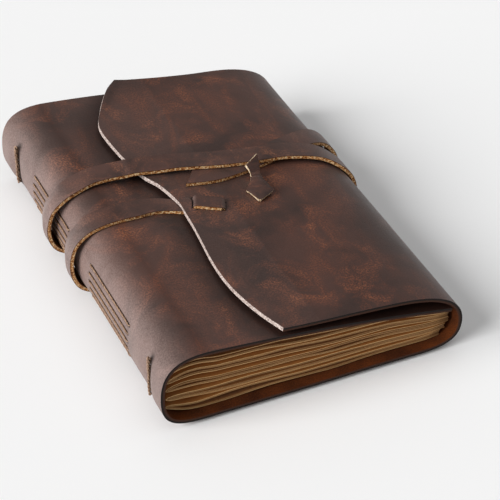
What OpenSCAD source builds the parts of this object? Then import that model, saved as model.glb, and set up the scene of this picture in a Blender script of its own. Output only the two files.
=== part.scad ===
// Wrap-style leather journal, closed and tied.
// One sheet of leather makes the front cover, spine, back cover and wave-edged flap.
// Five signatures are sewn to the spine with one waxed thread, in long stitches.
// A flat leather strap is woven through the flap and wound twice round the book.
// X runs from the spine (-X) to the fore edge (+X), Y from tail to head, Z up.

/* [Cover] */
// Length of the cover from tail to head
cover_length = 203; // [180:1:230]
// Width of the closed cover, spine to fore edge
cover_width = 154; // [146:1:166]
// Thickness of the cover leather
leather = 2.0; // [1.6:0.1:2.4]
// Radius of the flap's hole for the toggle stem
toggle_hole_r = 1.9; // [1.8:0.1:2.4]

/* [Pages] */
// Thickness of one signature, a little way in from its fold
signature_thick = 7.2; // [6.6:0.1:7.8]
// Distance from one fold to the next at the spine
fold_pitch = 4.9; // [4.7:0.1:5.2]
// Distance by which the cover overhangs the pages at head and tail
overhang = 5; // [3:0.5:9]
// Room between the pages and the leather
page_room = 0.35; // [0.2:0.05:0.6]

/* [Sewing] */
// Diameter of the waxed thread
thread_d = 1.0; // [0.8:0.1:1.2]
// Distance from the middle of the book to each cross stitch
cross_station = 84.5; // [78:0.5:88]
// Distance from the middle of the book to the outer end of a long stitch
outer_station = 60; // [50:0.5:68]
// Distance from the middle of the book to the inner end of a long stitch
inner_station = 14; // [10:0.5:24]

/* [Strap] */
// Width of the strap
strap_width = 12; // [10:0.5:13]
// Thickness of the strap
strap_thick = 2.0; // [1.6:0.1:2.2]
// Room between the strap and what it lies on
strap_room = 0.15; // [0.1:0.05:0.3]

/* [Toggle] */
// Thickness of the toggle's thong
toggle_thick = 1.6; // [1.2:0.1:2]
// Radius of the twisted stem through the flap
toggle_stem_r = 1.6; // [1.2:0.1:1.7]

/* [Hidden] */
signatures = 5;
half = cover_width / 2;
base_z = strap_thick + strap_room;
spine_high = 2 * leather + signatures * signature_thick + 0.3;
spine_mid = spine_high * 0.52;
fore_mid = 13;
edge_high = 23.7;
flap_rise = strap_thick + leather - 0.5;
flap_low = 37 + flap_rise - 3.5;
flap_tip = -39;

// Bezier curves along the outside of the leather, from the free edge of the front
// cover round the spine, the back and the fore edge to the tip of the flap
shoulder_x = -half + 21.5;
heel_x = -half + 22;
fore_x0 = half - 21;
flap_x0 = 41;
skin = [
    [[half - 6.5, edge_high], [20, spine_high - 7.2], [-20, spine_high - 2.4], [shoulder_x, spine_high]],
    [[shoulder_x, spine_high], [-half + 8, spine_high + 0.3], [-half, spine_high - 4.3], [-half, spine_mid]],
    [[-half, spine_mid], [-half, 7], [-half + 4, 0], [heel_x, 0]],
    [[heel_x, 0], [-20, 0], [20, 0], [fore_x0, 0]],
    [[fore_x0, 0], [half - 6, 0], [half, 3.5], [half, fore_mid]],
    [[half, fore_mid], [half, 25], [half - 10, flap_low - 2.5], [flap_x0, flap_low]],
    [[flap_x0, flap_low], [23, flap_low + 1.8], [-7, flap_low + 2.8], [flap_tip, spine_high + flap_rise]]
];
FRONT = 0;
SHOULDER = 1;
HEEL = 2;
BACK = 3;
FORE_LOW = 4;
FORE_HIGH = 5;
FLAP = 6;

function unit(v) = v / norm(v);
function bez(p, t) =
    p[0] * pow(1 - t, 3) + 3 * p[1] * t * pow(1 - t, 2) + 3 * p[2] * t * t * (1 - t) + p[3] * pow(t, 3);
function bez_dir(p, t) =
    unit((p[1] - p[0]) * pow(1 - t, 2) + 2 * (p[2] - p[1]) * t * (1 - t) + (p[3] - p[2]) * t * t);
// A point [x, z] on one curve of the skin, moved outwards by off
function on_skin(seg, t, off = 0) =
    let (p = bez(skin[seg], t), d = bez_dir(skin[seg], t)) [p.x + d.y * off, p.y - d.x * off];
// The parameter of a curve at which x is reached, by halving
function find_t(p, x, lo = 0, hi = 1, n = 18) = n == 0 ? (lo + hi) / 2
    : let (m = (lo + hi) / 2, left = (bez(p, m).x - x) * (p[3].x - p[0].x) < 0)
        find_t(p, x, left ? m : lo, left ? hi : m, n - 1);
// The parameter at which a falling curve reaches z
function find_z(p, z, lo = 0, hi = 1, n = 18) = n == 0 ? (lo + hi) / 2
    : let (m = (lo + hi) / 2, above = bez(p, m).y > z) find_z(p, z, above ? m : lo, above ? hi : m, n - 1);
// Catmull-Rom curve through points, with a number of steps between two of them
function spline(p, steps) = [
    for (i = [0:len(p) - 2], k = [0:steps - 1])
        let (a = p[max(i - 1, 0)], b = p[i], c = p[i + 1], d = p[min(i + 2, len(p) - 1)], t = k / steps)
            0.5 * (2 * b + (c - a) * t + (2 * a - 5 * b + 4 * c - d) * t * t
                + (3 * b - a - 3 * c + d) * t * t * t),
    p[len(p) - 1]];

// Closed solid through rings of points that all have the same count
module loft(rings) {
    n = len(rings[0]);
    m = len(rings);
    polyhedron(
        points = [for (r = rings) each r],
        faces = [
            [for (j = [0:n - 1]) j],
            for (i = [0:m - 2], j = [0:n - 1]) each [
                [i * n + j, (i + 1) * n + j, i * n + (j + 1) % n],
                [i * n + (j + 1) % n, (i + 1) * n + j, (i + 1) * n + (j + 1) % n]],
            [for (j = [n - 1:-1:0]) (m - 1) * n + j]],
        convexity = 10);
}

function along(p, i) = unit(p[min(i + 1, len(p) - 1)] - p[max(i - 1, 0)]);
// Four corners of a flat band at one point of its route, where s points to its head side
function band_ring(c, t, s, w, h, slant = 0) = let (n = unit(cross(s, t))) [
    c + s * w / 2 - n * h / 2 + t * slant, c - s * w / 2 - n * h / 2 - t * slant,
    c - s * w / 2 + n * h / 2 - t * slant, c + s * w / 2 + n * h / 2 + t * slant];

// The cover's profile, seen from the tail
steps = 14;
skin_walk = [for (seg = [0:6], k = [0:(seg == 6 ? steps : steps - 1)]) [seg, k / steps]];
module cover_profile() {
    outer = [for (q = skin_walk) on_skin(q[0], q[1])];
    inner = [for (q = skin_walk) on_skin(q[0], q[1], -leather)];
    polygon(concat(outer, [for (i = [len(inner) - 1:-1:0]) inner[i]]));
}

// Plan of the flap's wave edge, from the head corner to the tail corner
wave = spline([
    [-14, cover_length / 2], [-20, 98], [-28, 89], [-35, 77], [-37.4, 63], [-35.5, 42], [-29, 15],
    [-25, -6], [-26.5, -30], [-28.7, -58], [-25, -84], [-18.5, -cover_length / 2]], 6);
module wave_cutter() {
    far = cover_length;
    polygon(concat(
        [[-14, far], [-half - 20, far], [-half - 20, -far], [-18.5, -far]],
        [for (i = [len(wave) - 1:-1:0]) wave[i]]));
}

// Where the strap weaves through the flap, as x and y
tab_right = [-5.4, -10.8];
tab_left = [-17.8, -5.2];
tab_pinch = 2.8;
slit_long = strap_width - tab_pinch + 0.8;
tab_angle = atan2(tab_left.y - tab_right.y, tab_left.x - tab_right.x);
toggle_at = [19.6, 5];

function flap_z(x, off = 0) = on_skin(FLAP, find_t(skin[FLAP], x), off).y;

module cover() {
    color("#4a2f28")
    translate([0, 0, base_z])
    difference() {
        translate([0, cover_length / 2, 0]) rotate([90, 0, 0]) linear_extrude(cover_length) cover_profile();
        // the wave edge, cut through the flap alone
        translate([20, 0, flap_z(20) - leather - 1.3]) rotate([0, 4.2, 0]) translate([-20, 0, 0])
            linear_extrude(30) wave_cutter();
        // slits for the strap
        for (p = [tab_right, tab_left])
            translate([p.x, p.y, flap_z(p.x) - leather / 2]) rotate([0, 0, tab_angle])
                cube([slit_wide, slit_long, leather * 2], center = true);
        // hole for the toggle
        translate([toggle_at.x, toggle_at.y, flap_z(toggle_at.x) - leather - 1.5])
            cylinder(r = toggle_hole_r, h = leather + 3, $fn = 32);
        // sewing holes
        for (k = [0:signatures - 1], y = stations)
            translate([-half - 1, y, fold_z(k)]) rotate([0, 90, 0])
                cylinder(d = thread_d + 0.3, h = leather + 4, $fn = 16);
    }
}

// Sewing stations from head to tail
stations = [cross_station, outer_station, inner_station, -inner_station, -outer_station, -cross_station];
// Height of one signature's fold above the outside of the back cover
fold_low = 8.7;
function fold_z(k) = fold_low + k * fold_pitch;
nose_x = -half + 4.6;
nose_long = 4;
nose_span = 18;
fold_half = fold_pitch / 2 - 0.1;

// Lower and upper limits of the whole text block at x
function ease(u) = sin(90 * min(max(u, 0), 1));
function block_low(x) =
    let (flat = leather + page_room, fold_under = fold_z(0) - fold_half)
        x < 0 ? fold_under + (flat - fold_under) * ease((x - nose_x) / nose_span)
        : x < fore_x0 ? flat
        : on_skin(FORE_LOW, find_t(skin[FORE_LOW], x), -leather - page_room).y;
function roof(x) =
    on_skin(FRONT, find_t(skin[FRONT], min(x, half - 7)), -leather - page_room).y - max(0, x - 40) * 0.06;
function block_high(x) =
    let (fold_top = fold_z(signatures - 1) + fold_half, roof_x = max(x, nose_x + nose_span))
        x < nose_x + nose_span ? fold_top + (roof(roof_x) - fold_top) * ease((x - nose_x) / nose_span)
        : roof(roof_x);
// Where the pages of one signature end at the fore edge
function fore_x(k) = half - leather - 1.6 - (k == 0 ? 3.6 : (k == 1 ? 0.8 : 0));

// Fraction of the full thickness left by the round of the fold
function round_nose(x) = let (u = min(1, (x - nose_x) / nose_long)) sqrt(max(0, 1 - pow(1 - u, 2)));
function page_xs(k) = [
    for (u = [0, 0.03, 0.1, 0.2, 0.35, 0.6, 1]) nose_x + nose_long * u,
    for (x = [nose_x + 7:3.5:nose_x + nose_span]) x,
    for (x = [nose_x + 24:8:half - 30]) x,
    for (x = [half - 26:4:fore_x(k) - 2]) x,
    fore_x(k)];
// A point on the lower (-1) or upper (1) face of a signature
function leaf(k, x, side) =
    let (lo = block_low(x), full = (block_high(x) - lo) / signatures)
        [x, lo + full * (k + 0.5) + side * (full / 2 - 0.12) * round_nose(x)];

module signature(k) {
    xs = page_xs(k);
    last = fore_x(k);
    channel = nose_x + nose_long * 0.6;
    slit = [for (x = [channel:3:channel + 21]) x];
    color("#9c7748")
    translate([0, cover_length / 2 - overhang, base_z])
    rotate([90, 0, 0])
    difference() {
        linear_extrude(cover_length - 2 * overhang)
        difference() {
            polygon(concat(
                [for (x = xs) leaf(k, x, -1)],
                [[last + 0.7, (leaf(k, last, -1).y + leaf(k, last, 1).y) / 2]],
                [for (i = [len(xs) - 1:-1:1]) leaf(k, xs[i], 1)]));
            // the gutter between the two halves of the fold, which takes the thread
            translate([channel, fold_z(k)]) circle(d = thread_d + 0.3, $fn = 16);
            polygon([
                for (x = slit) leaf(k, x, 0) - [0, 0.28 * (channel + 21.5 - x) / 21],
                for (x = [channel + 21:-3:channel]) leaf(k, x, 0) + [0, 0.28 * (channel + 21.5 - x) / 21]]);
        }
        for (y = stations)
            translate([nose_x - 1, fold_z(k), cover_length / 2 - overhang - y]) rotate([0, 90, 0])
                cylinder(d = thread_d + 0.3, h = channel - nose_x + 1, $fn = 16);
    }
}

// Thread: out at the spine, in through the leather and the fold, along the gutter
thread_r = thread_d / 2;
function spine_x(z) =
    let (seg = z > spine_mid ? SHOULDER : HEEL) on_skin(seg, find_z(skin[seg], z)).x;
function outside(k, y) = [spine_x(fold_z(k)) - thread_r - 0.06, y, fold_z(k)];
function inside(k, y) = [nose_x + nose_long * 0.6, y, fold_z(k)];
function sewn(k) = let (s = k % 2 == 0 ? stations : [for (i = [5:-1:0]) stations[i]]) [
    outside(k, s[0]), inside(k, s[0]), inside(k, s[1]), outside(k, s[1]), outside(k, s[2]), inside(k, s[2]),
    inside(k, s[3]), outside(k, s[3]), outside(k, s[4]), inside(k, s[4]), inside(k, s[5]), outside(k, s[5])];
// A zigzag down over the links of a cross stitch, which gives it the look of a rope
function zigzag(y, ks) = [for (k = ks, side = [1, -1]) let (z = fold_z(k) + side * fold_pitch * 0.25)
    [spine_x(z) - 3 * thread_r - 0.14, y + side * thread_r * 0.7, z]];
top_down = [for (k = [signatures - 1:-1:0]) k];
thread_route = concat(
    zigzag(cross_station, top_down),
    [for (k = [0:signatures - 1]) each sewn(k)],
    zigzag(-cross_station, top_down));
// Round each corner of a route by a short curve
function eased(p, r) = [
    p[0],
    for (i = [1:len(p) - 2])
        let (a = p[i - 1], b = p[i], c = p[i + 1],
            u = b + unit(a - b) * min(r, norm(a - b) * 0.45),
            v = b + unit(c - b) * min(r, norm(c - b) * 0.45))
            each [u, (u + 2 * b + v) / 4, v],
    p[len(p) - 1]];
// Normals that turn as little as they can along a route
function carried(p, i, n) = i == len(p) ? []
    : let (t = along(p, i), m = unit(n - t * (n * t))) concat([[t, m]], carried(p, i + 1, m));
module tube(p, r, sides, up) {
    frame = carried(p, 0, up);
    loft([for (i = [0:len(p) - 1]) let (m = frame[i][1], s = cross(frame[i][0], m))
        [for (a = [0:sides - 1]) p[i] + r * (cos(360 * a / sides) * m + sin(360 * a / sides) * s)]]);
}
module sewing_thread() {
    color("#8a5a30")
    translate([0, 0, base_z]) tube(eased(thread_route, 0.9), thread_r, 8, [0.3, 0.4, 1]);
}

// Strap
on = strap_thick / 2 + strap_room;
under = -leather - strap_thick / 2 - strap_room;
bend_r = strap_thick / 2 + 0.15;
bend_a = 76;
dive_high = on - under;
dive_long = 2 * bend_r * sin(bend_a) + (dive_high - 2 * bend_r * (1 - cos(bend_a))) / tan(bend_a);
slit_wide = dive_long + 0.1;
// Side view of the strap as it climbs through a slit: how far along, how high
bend = [for (i = [0:4]) let (a = bend_a * i / 4) bend_r * [sin(a), 1 - cos(a)]];
dive = concat(bend, [for (i = [4:-1:0]) [dive_long, dive_high] - bend[i]]);
function on_flap(x, y, off) = let (q = on_skin(FLAP, find_t(skin[FLAP], x), off)) [q.x, y, q.y];
function on_front(x, y) = let (q = on_skin(FRONT, find_t(skin[FRONT], x), on)) [q.x, y, q.y];
tab_lean = (tab_left.y - tab_right.y) / (tab_left.x - tab_right.x);
function tab_y(x) = tab_right.y + (x - tab_right.x) * tab_lean;
function ride(seg, t, y, lift = 0) = let (q = on_skin(seg, t, on + lift)) [q.x, y, q.y];
tab = concat(
    [on_flap(10, tab_y(8), under), on_flap(4, tab_y(4), under)],
    [for (q = dive) let (x = tab_right.x + dive_long / 2 - q.x) on_flap(x, tab_y(x), under + q.y)],
    [for (q = dive) let (x = tab_left.x + dive_long / 2 - q.x) on_flap(x, tab_y(x), on - q.y)]);
wound = spline([
    on_flap(-22, -3, under), on_front(-28, -0.3), on_front(-34, 1.6), on_front(-41, 2.4),
    ride(FRONT, 0.92, 1.8), ride(SHOULDER, 0, 1.3),
    ride(SHOULDER, 0.25, 0.9, 0.2), ride(SHOULDER, 0.5, 1, 0.9), ride(SHOULDER, 0.75, 1.5, 1.8),
    ride(HEEL, 0, 2.2, 2.4), ride(HEEL, 0.25, 2.8, 1.8), ride(HEEL, 0.5, 3.4, 0.8),
    ride(HEEL, 0.75, 3.8), ride(HEEL, 0.93, 3.8), ride(BACK, 0.03, 3.8), ride(BACK, 0.2, 4),
    ride(BACK, 0.5, 4.6), ride(BACK, 0.8, 5.7), ride(BACK, 0.97, 6.4), ride(FORE_LOW, 0.06, 6.6),
    ride(FORE_LOW, 0.25, 7),
    ride(FORE_LOW, 0.5, 8.4, 0.1), ride(FORE_LOW, 0.75, 10.2, 0.2),
    ride(FORE_HIGH, 0, 11.6, 0.3), ride(FORE_HIGH, 0.25, 12.6, 0.3), ride(FORE_HIGH, 0.5, 13.6, 0.6),
    ride(FORE_HIGH, 0.75, 16, 2.05), ride(FLAP, 0, 18.4, 2.55), ride(FLAP, 0.25, 19.4, 2.3),
    ride(FLAP, 0.5, 21.2, 2.3), ride(FLAP, 0.74, 24.8, 2.3), ride(FLAP, 0.84, 26.4, 0.9),
    ride(FLAP, 0.91, 27.8, 0.1), ride(FLAP, 0.98, 29.2), ride(FRONT, 0.87, 30.2, 1.5),
    ride(FRONT, 0.94, 30, 0.3), ride(SHOULDER, 0.05, 29.2, 0.1),
    ride(SHOULDER, 0.25, 28.4, 0.3), ride(SHOULDER, 0.5, 28.8, 1.1), ride(SHOULDER, 0.75, 30.2, 2),
    ride(HEEL, 0, 32, 2.6), ride(HEEL, 0.25, 33.6, 2), ride(HEEL, 0.5, 34.8, 0.9),
    ride(HEEL, 0.75, 35.2), ride(HEEL, 0.93, 35.15), ride(BACK, 0.03, 35.1), ride(BACK, 0.2, 34.6),
    ride(BACK, 0.5, 33.4), ride(BACK, 0.8, 32.1), ride(BACK, 0.97, 31.4), ride(FORE_LOW, 0.06, 31.2),
    ride(FORE_LOW, 0.25, 31, 0.1), ride(FORE_LOW, 0.5, 31.2, 0.7), ride(FORE_LOW, 0.75, 32.2, 1.4),
    ride(FORE_HIGH, 0, 33.8, 2), ride(FORE_HIGH, 0.25, 35.2, 2.1), ride(FORE_HIGH, 0.5, 35, 1.5),
    ride(FORE_HIGH, 0.75, 30.4, 0.3), ride(FLAP, 0, 23.6), ride(FLAP, 0.2, 18.9), ride(FLAP, 0.4, 15.6),
    ride(FLAP, 0.6, 14.4), ride(FLAP, 0.735, 14.4)], 3);
strap_route = concat(tab, wound);
strap_slant = -3.8;
// The strap is pinched a little where it weaves through the slits
function strap_wide(i) = strap_width - tab_pinch * min(1, max(0, 1 - (i - len(tab)) / 10));
// The head side of the strap: square to the tab, then with no twist on the skin
tab_side = unit([tab_left.y - tab_right.y, tab_right.x - tab_left.x, 0]);
function strap_side(i, t) = i < len(tab) ? tab_side : unit(cross(t, [t.z, 0, -t.x]));
module strap() {
    n = len(strap_route);
    color("#5a3a30")
    translate([0, 0, base_z])
    loft([for (i = [0:n - 1]) let (t = along(strap_route, i), slant = i == n - 1 ? strap_slant : 0)
        band_ring(strap_route[i], t, strap_side(i, t), strap_wide(i), strap_thick, slant)]);
}

// Toggle: a short thong, twisted where it comes up through the flap, with two flared ends
toggle_top = flap_z(toggle_at.x);
// One ring of a thong, arched across its width, rolled about its length and cut at a slant
function thong_ring(c, t, w, h, arch, roll, slant) =
    let (flat = unit([t.y, -t.x, 0]), up = cross(flat, t),
        s = flat * cos(roll) + up * sin(roll), n = up * cos(roll) - flat * sin(roll))
        [for (v = [1, -1], k = [-2:2])
            let (u = v * k / 2) c + s * u * w / 2 + t * slant * u + n * (v * h / 2 + arch * (1 - u * u))];
// Each row: place, width, arch, roll and slant
module thong(rows, h) {
    p = [for (r = rows) r[0]];
    loft([for (i = [0:len(rows) - 1])
        let (r = rows[i]) thong_ring(p[i], along(p, i), r[1], h, r[2], r[3], r[4])]);
}
module toggle() {
    at = [toggle_at.x, toggle_at.y, toggle_top];
    over = 2 * (strap_thick + strap_room) + toggle_thick / 2;
    color("#4f3029")
    translate([0, 0, base_z]) {
        translate(at - [0, 0, leather + 0.3]) cylinder(r = toggle_stem_r, h = leather + 2.6, $fn = 12);
        translate(at - [0, 0, leather + 0.3 + 1.5]) cylinder(r = 4.2, h = 1.5, $fn = 12);
        thong([
            [at + [-6.6, -18.2, 1.5], 1.6, 0, 0, 0],
            [at + [-3.4, -11.6, 1.5], 13.6, 1.6, 0, 0],
            [at + [-2.4, -8, 1.8], 10.4, 2, 0, 0],
            [at + [-1.3, -4, 2.1], 6.6, 1.4, 0, 0],
            [at + [-0.5, -1.2, 2.1], 4.8, 0.2, 0, 0],
            [at + [0, 1.2, 2.5], 5, 0.2, 4, 0],
            [at + [0.1, 2.6, over - 1.2], 6, 0.2, 8, 0.2],
            [at + [0.2, 4.6, over + 0.2], 7.4, 0.3, 14, 0.8],
            [at + [0.4, 6.8, over + 1], 8.2, 0.3, 20, 2]], toggle_thick);
    }
}

cover();
signature(4);  // signature_1
signature(3);  // signature_2
signature(2);  // signature_3
signature(1);  // signature_4
signature(0);  // signature_5
sewing_thread();
strap();
toggle();
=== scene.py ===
import math

import bmesh
import bpy
from mathutils import Matrix, Vector, noise


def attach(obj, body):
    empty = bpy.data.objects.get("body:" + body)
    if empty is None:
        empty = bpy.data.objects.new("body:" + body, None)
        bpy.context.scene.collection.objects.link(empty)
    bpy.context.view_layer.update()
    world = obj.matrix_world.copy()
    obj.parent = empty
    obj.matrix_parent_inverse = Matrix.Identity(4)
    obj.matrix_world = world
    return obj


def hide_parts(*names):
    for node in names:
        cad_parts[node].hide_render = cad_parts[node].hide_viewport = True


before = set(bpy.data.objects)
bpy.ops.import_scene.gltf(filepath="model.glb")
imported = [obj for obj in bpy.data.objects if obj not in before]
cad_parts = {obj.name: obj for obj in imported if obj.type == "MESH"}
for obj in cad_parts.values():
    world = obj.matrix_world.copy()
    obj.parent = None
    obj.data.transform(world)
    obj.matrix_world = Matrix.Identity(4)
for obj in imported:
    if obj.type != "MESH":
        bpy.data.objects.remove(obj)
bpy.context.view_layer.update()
mm = 0.001


# ---- camera, floor and light

studio = dict(
    place=(-0.3102, -0.6088, 0.5611), azimuth=28.22, elevation=39.05, roll=3.83, lens=127.94,
    floorColour="#f8f8f8", floorSize=8.0, worldColour="#ffffff", worldStrength=0.24,
    keyStrength=3.95, keySoftness=40, keyFrom=(-0.9, -0.08, 0.46),
    fillStrength=0.5, fillSoftness=70, fillFrom=(0.1, -0.1, 1.0))


def linear(hexColour):
    channels = [int(hexColour[i:i + 2], 16) / 255 for i in (1, 3, 5)]
    return [c / 12.92 if c <= 0.04045 else ((c + 0.055) / 1.055) ** 2.4 for c in channels] + [1.0]


def addObject(name, data):
    obj = bpy.data.objects.new(name, data)
    bpy.context.scene.collection.objects.link(obj)
    return obj


cameraData = bpy.data.cameras.new("camera")
cameraData.lens = studio["lens"]
cameraData.sensor_width = 36
cameraData.clip_end = 20
camera = addObject("camera", cameraData)
camera.matrix_world = (
    Matrix.Translation(studio["place"])
    @ Matrix.Rotation(math.radians(-studio["azimuth"]), 4, "Z")
    @ Matrix.Rotation(math.radians(90 - studio["elevation"]), 4, "X")
    @ Matrix.Rotation(math.radians(studio["roll"]), 4, "Z"))
bpy.context.scene.camera = camera
bpy.context.scene.view_settings.view_transform = "Standard"


def addSun(name, strength, softness, towards):
    sunData = bpy.data.lights.new(name, "SUN")
    sunData.energy = strength
    sunData.angle = math.radians(softness)
    sun = addObject(name, sunData)
    sun.matrix_world = Vector(towards).to_track_quat("Z", "Y").to_matrix().to_4x4()


addSun("key", studio["keyStrength"], studio["keySoftness"], studio["keyFrom"])
addSun("fill", studio["fillStrength"], studio["fillSoftness"], studio["fillFrom"])


# ---- materials

def newMaterial(name):
    material = bpy.data.materials.new(name)
    material.use_nodes = True
    material.node_tree.nodes.clear()
    return material


# adds one node: settings are its properties, inputs are values or sockets to link from
def node(tree, kind, inputs=None, **settings):
    made = tree.nodes.new(kind)
    for key, value in settings.items():
        setattr(made, key, value)
    for key, value in (inputs or {}).items():
        if isinstance(value, bpy.types.NodeSocket):
            tree.links.new(value, made.inputs[key])
        else:
            made.inputs[key].default_value = value
    return made


def ramp(tree, factor, stops):
    made = node(tree, "ShaderNodeValToRGB", {"Fac": factor})
    elements = made.color_ramp.elements
    while len(elements) < len(stops):
        elements.new(0.5)
    for element, (position, colour) in zip(elements, stops):
        element.position = position
        element.color = linear(colour) if isinstance(colour, str) else (colour, colour, colour, 1)
    return made.outputs["Color"]


def noiseAt(tree, coordinates, size, detail=4.0, rough=0.5, distortion=0.0):
    return node(tree, "ShaderNodeTexNoise", {
        "Vector": coordinates, "Scale": 1 / (size * mm), "Detail": detail,
        "Roughness": rough, "Distortion": distortion}).outputs["Fac"]


def mixColour(tree, factor, a, b, blend="MIX"):
    made = node(tree, "ShaderNodeMix", data_type="RGBA", blend_type=blend)
    for key, value in (("Factor", factor), ("A", a), ("B", b)):
        socket = [s for s in made.inputs if s.name == key and s.enabled][0]
        if isinstance(value, bpy.types.NodeSocket):
            tree.links.new(value, socket)
        else:
            socket.default_value = linear(value) if isinstance(value, str) else value
    return [s for s in made.outputs if s.enabled][0]


def calculate(tree, operation, a, b=0.0, clamp=False):
    return node(tree, "ShaderNodeMath", {0: a, 1: b}, operation=operation, use_clamp=clamp).outputs[0]


def finishMaterial(material, colour, roughness, height, depth, **shader):
    tree = material.node_tree
    bump = node(tree, "ShaderNodeBump", {"Height": height, "Distance": depth * mm, "Strength": 1.0})
    surface = node(tree, "ShaderNodeBsdfPrincipled", {
        "Base Color": colour, "Roughness": roughness, "Normal": bump.outputs["Normal"], **shader})
    node(tree, "ShaderNodeOutputMaterial", {"Surface": surface.outputs["BSDF"]})
    return material


# oil-tanned pull-up cowhide, waxed and hand-rubbed: dark umber, rusty where the wax has shifted,
# and paler where it faces sideways: partly the real paling of bent leather, partly a painted sheen
grainLook = dict(dark="#2e1b15", middle="#472b22", rust="#76391f", pale="#a96a42", shade="#1a0a05", bendPaleAndSheen="#84706a",
                 roughness=0.5, blotch=46, patch=20, streak=40, speckle=0.9, pore=0.5, sheen=0.1, bendPaleAndSheenShare=0.85)


def pullUpLeather(name, look):
    material = newMaterial(name)
    tree = material.node_tree
    place = node(tree, "ShaderNodeTexCoord").outputs["UV"]
    slanted = node(tree, "ShaderNodeMapping", {
        "Vector": place, "Rotation": (0, 0, 0.9), "Scale": (1.0, 0.3, 1.0)}).outputs["Vector"]
    blotch = noiseAt(tree, place, look["blotch"], 5, 0.55, 0.6)
    patch = noiseAt(tree, place, look["patch"], 5, 0.6, 0.9)
    streak = noiseAt(tree, slanted, look["streak"], 3, 0.45, 0.8)
    speckle = noiseAt(tree, place, look["speckle"], 3, 0.7)
    pore = noiseAt(tree, place, look["pore"], 2, 0.6)
    base = ramp(tree, blotch, [(0.38, look["dark"]), (0.62, look["middle"])])
    rusty = ramp(tree, patch, [(0.48, 0.0), (0.7, 0.85)])
    lines = ramp(tree, streak, [(0.44, 0.0), (0.5, 0.5), (0.56, 0.0)])
    broken = calculate(tree, "MULTIPLY", lines, ramp(tree, blotch, [(0.42, 0.0), (0.6, 1.0)]))
    flecks = ramp(tree, speckle, [(0.42, 0.1), (0.6, 1.0)])
    wear = calculate(tree, "MULTIPLY", calculate(tree, "MAXIMUM", rusty, broken), flecks)
    rubbed = mixColour(tree, wear, base, look["rust"])
    bright = calculate(tree, "MULTIPLY", calculate(tree, "POWER", wear, 2.4), 0.8)
    flecked = mixColour(tree, bright, rubbed, look["pale"])
    bendPaleAndSheen = node(tree, "ShaderNodeAttribute", attribute_name="bendPaleAndSheen").outputs["Fac"]
    uneven = calculate(
        tree, "ADD", calculate(tree, "MULTIPLY", flecks, 0.55), calculate(tree, "MULTIPLY", patch, 1.15))
    # painted sheen: leather facing sideways is mixed towards the pale pink-grey, partly the real paling of bent
    # leather
    bendPaleAndSheenMix = calculate(tree, "MULTIPLY", calculate(tree, "MULTIPLY", bendPaleAndSheen, look["bendPaleAndSheenShare"]), uneven, True)
    paler = mixColour(tree, bendPaleAndSheenMix, flecked, look["bendPaleAndSheen"])
    shade = node(tree, "ShaderNodeAttribute", attribute_name="shade").outputs["Fac"]
    colour = mixColour(tree, shade, paler, look["shade"])
    roughness = calculate(tree, "ADD", calculate(tree, "MULTIPLY", blotch, 0.2), look["roughness"] - 0.1)
    height = calculate(tree, "ADD", calculate(tree, "MULTIPLY", pore, 0.5), calculate(tree, "MULTIPLY", speckle, 0.5))
    sheen = calculate(tree, "MULTIPLY", calculate(tree, "SUBTRACT", 1.0, shade), look["sheen"])
    return finishMaterial(material, colour, roughness, height, 0.1, **{
        "IOR": 1.47, "Sheen Weight": sheen, "Sheen Roughness": 0.45, "Sheen Tint": linear("#f2dcd4")})


# the flesh side of the same hide: brushed suede nap, reddish brown and quite dull
def fleshSide(name, light, dark, nap=0.7):
    material = newMaterial(name)
    tree = material.node_tree
    place = node(tree, "ShaderNodeTexCoord").outputs["UV"]
    fibres = noiseAt(tree, place, nap, 5, 0.75)
    cloud = noiseAt(tree, place, 12, 3)
    mixed = calculate(
        tree, "ADD", calculate(tree, "MULTIPLY", fibres, 0.65), calculate(tree, "MULTIPLY", cloud, 0.35))
    colour = ramp(tree, mixed, [(0.36, dark), (0.62, light)])
    return finishMaterial(material, colour, 0.95, fibres, 0.25, **{"Specular IOR Level": 0.2})


# raw cut edge: pale fibres between the dyed grain and the flesh side, dark where it is burnished,
# at the cover's head and tail and inside its slits
def cutEdge(name, light, middle, dark, fibre=0.55, border=None, burnished=None):
    material = newMaterial(name)
    tree = material.node_tree
    place = node(tree, "ShaderNodeTexCoord").outputs["Object"]
    depth = node(tree, "ShaderNodeAttribute", attribute_name="depth").outputs["Fac"]
    fibres = noiseAt(tree, place, fibre, 4, 0.7)
    colour = ramp(tree, fibres, [(0.38, dark), (0.5, middle), (0.62, light)])
    if border:
        middleness = calculate(tree, "ABSOLUTE", calculate(tree, "SUBTRACT", depth, 0.5))
        ragged = calculate(tree, "ADD", middleness, calculate(tree, "MULTIPLY", fibres, 0.2))
        outer = ramp(tree, ragged, [(0.42, 0.0), (0.56, 1.0)])
        colour = mixColour(tree, outer, colour, border)
    if burnished:
        ends = calculate(tree, "ABSOLUTE", node(tree, "ShaderNodeSeparateXYZ", {"Vector": place}).outputs["Y"])
        rubbed = ramp(tree, depth, [(0.35, burnished), (0.7, "#3b1f10")])
        inward = node(tree, "ShaderNodeAttribute", attribute_name="inward").outputs["Fac"]
        where = calculate(tree, "MAXIMUM", calculate(tree, "GREATER_THAN", ends, 0.1011), inward)
        colour = mixColour(tree, where, colour, rubbed)
    return finishMaterial(material, colour, 0.8, fibres, 0.15, **{"Specular IOR Level": 0.25})


# recycled kraft writing paper: uncoated and fibrous, warm brown
def kraftPaper(name, light, dark, size):
    material = newMaterial(name)
    tree = material.node_tree
    place = node(tree, "ShaderNodeTexCoord").outputs["Object"]
    fibres = noiseAt(tree, place, size, 4, 0.7)
    # the per-leaf tone attribute: random tone, plus a painted highlight on each signature's outermost leaf
    toneAndHighlight = node(tree, "ShaderNodeAttribute", attribute_name="toneAndHighlight").outputs["Fac"]
    leaf = calculate(tree, "ADD", calculate(tree, "MULTIPLY", toneAndHighlight, 0.75), calculate(tree, "MULTIPLY", fibres, 0.5))
    return finishMaterial(material, ramp(tree, leaf, [(0.35, dark), (0.95, light)]), 0.88, fibres, 0.05)


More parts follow.
